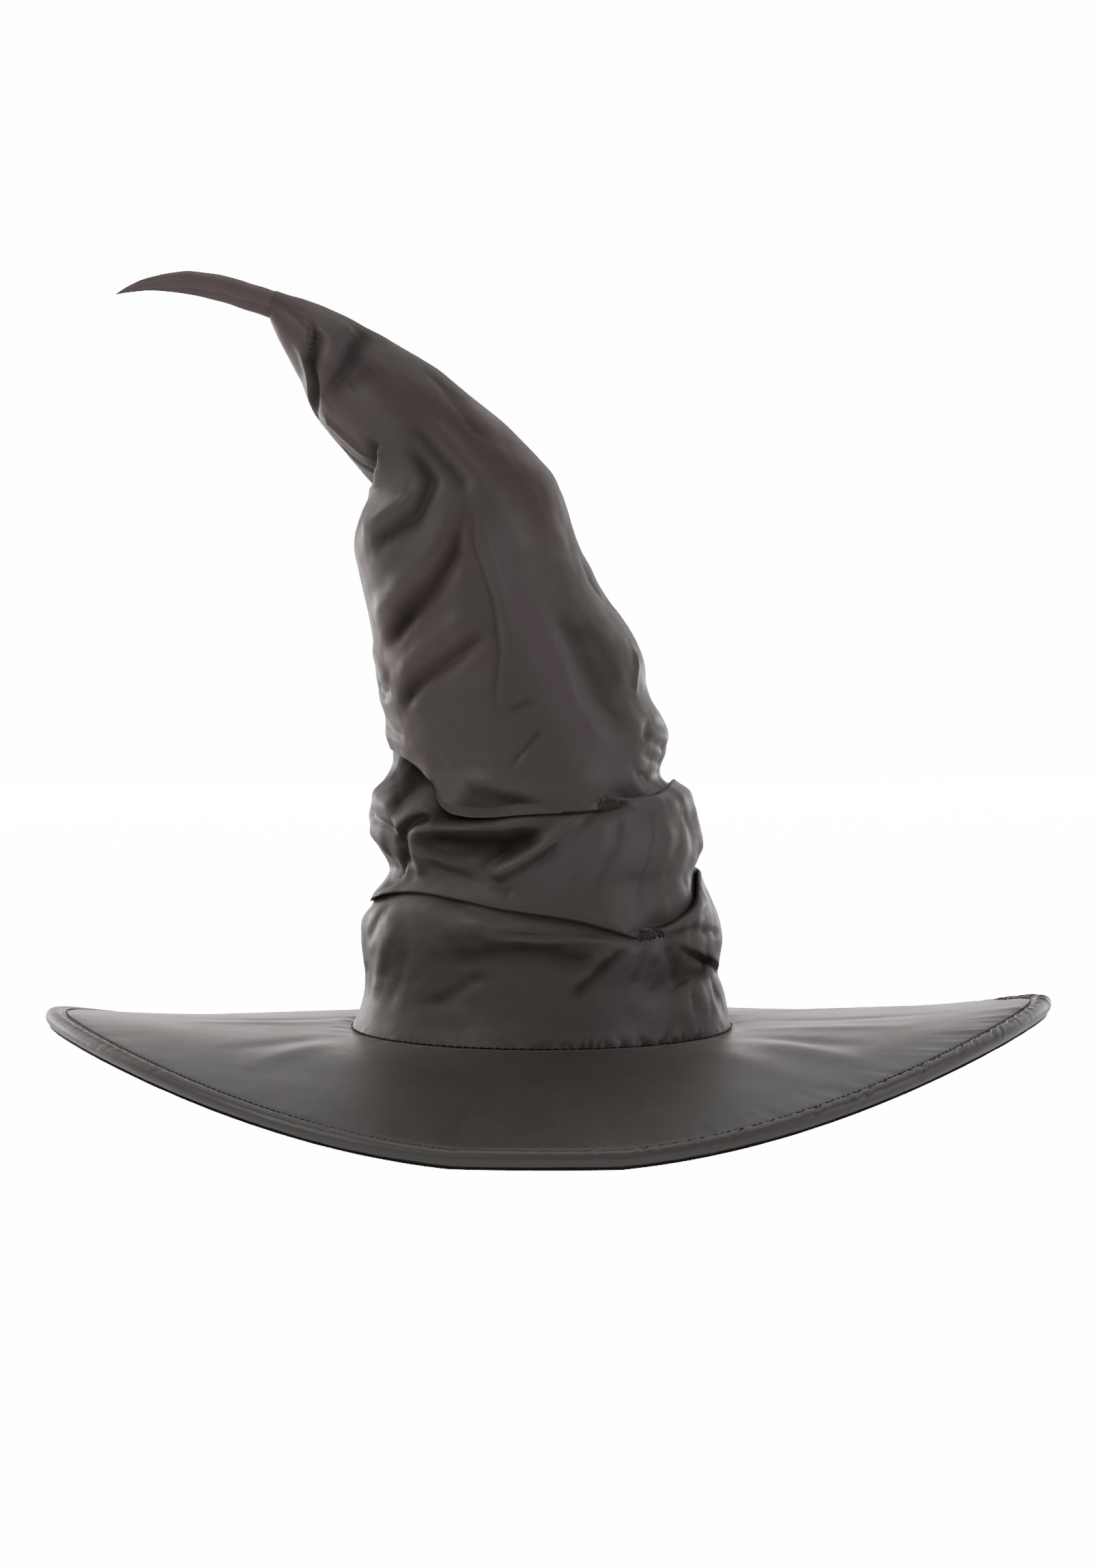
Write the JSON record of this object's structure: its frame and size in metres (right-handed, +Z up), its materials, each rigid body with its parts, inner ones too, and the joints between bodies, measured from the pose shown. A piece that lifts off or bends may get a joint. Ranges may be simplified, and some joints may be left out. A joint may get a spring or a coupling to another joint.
{
  "type": "witch hat",
  "caption": "Soft pointed hat of black satin: a wide wired brim with a rolled edge, a crown with two tacked tucks, and a leaning wired peak ending in a curved horn-shaped tip.",
  "frame": {"origin": "centre of the brim's outline, on the surface that the hat stands on", "axes": "+Z up, -Y towards the hat's front, +X to the viewer's right from the front; the peak leans towards -X"},
  "size_m": [0.5, 0.496, 0.4101],
  "materials": {
    "black_satin": "satin-faced crinkled taffeta, black with a brown cast",
    "brim_foam": "needled felt and foam interlining",
    "lining": "plain woven lining",
    "sweatband_ribbon": "ribbed grosgrain ribbon",
    "label_tape": "blank woven tape",
    "thread": "spun sewing thread",
    "wire": "drawn millinery wire"
  },
  "bodies": {
    "hat": {"brim_top_cover": "black_satin", "brim_core": "brim_foam", "brim_underside": "black_satin", "brim_edge_roll": "black_satin", "brim_edge_cord": "brim_foam", "brim_wire": "wire", "brim_wire_ferrule": "wire", "brim_edge_facing": "black_satin", "brim_topstitch": "thread", "sweatband": "sweatband_ribbon", "sweatband_stitching": "thread", "size_label": "label_tape", "crown_lining": "lining", "lining_top": "lining", "crown_stiffener": "brim_foam", "crown_base": "black_satin", "crown_seam_stitching": "thread", "lower_tuck": "black_satin", "crown_band": "black_satin", "upper_tuck": "black_satin", "lower_tacks": "thread", "upper_tacks": "thread", "cone": "black_satin", "cone_bend": "black_satin", "crown_wire": "wire", "wire_anchor": "wire", "wire_loops": "lining"},
    "peak": {"peak": "black_satin", "peak_wire": "wire", "tip_bend": "black_satin"},
    "tip": {"tip": "black_satin", "tip_wire": "wire", "wire_tip_eye": "wire"}
  },
  "joints": [
    {"name": "peak_fold", "type": "hinge", "parent": "hat", "child": "peak", "pos_m": [-0.0491, 0, 0.3079], "axis": [0, 1, 0], "range_deg": [-25, 35], "deforming": ["cone_bend"]},
    {"name": "tip_fold", "type": "hinge", "parent": "peak", "child": "tip", "pos_m": [-0.1348, 0, 0.3924], "axis": [0, 1, 0], "range_deg": [-35, 40], "deforming": ["tip_bend"]}
  ]
}
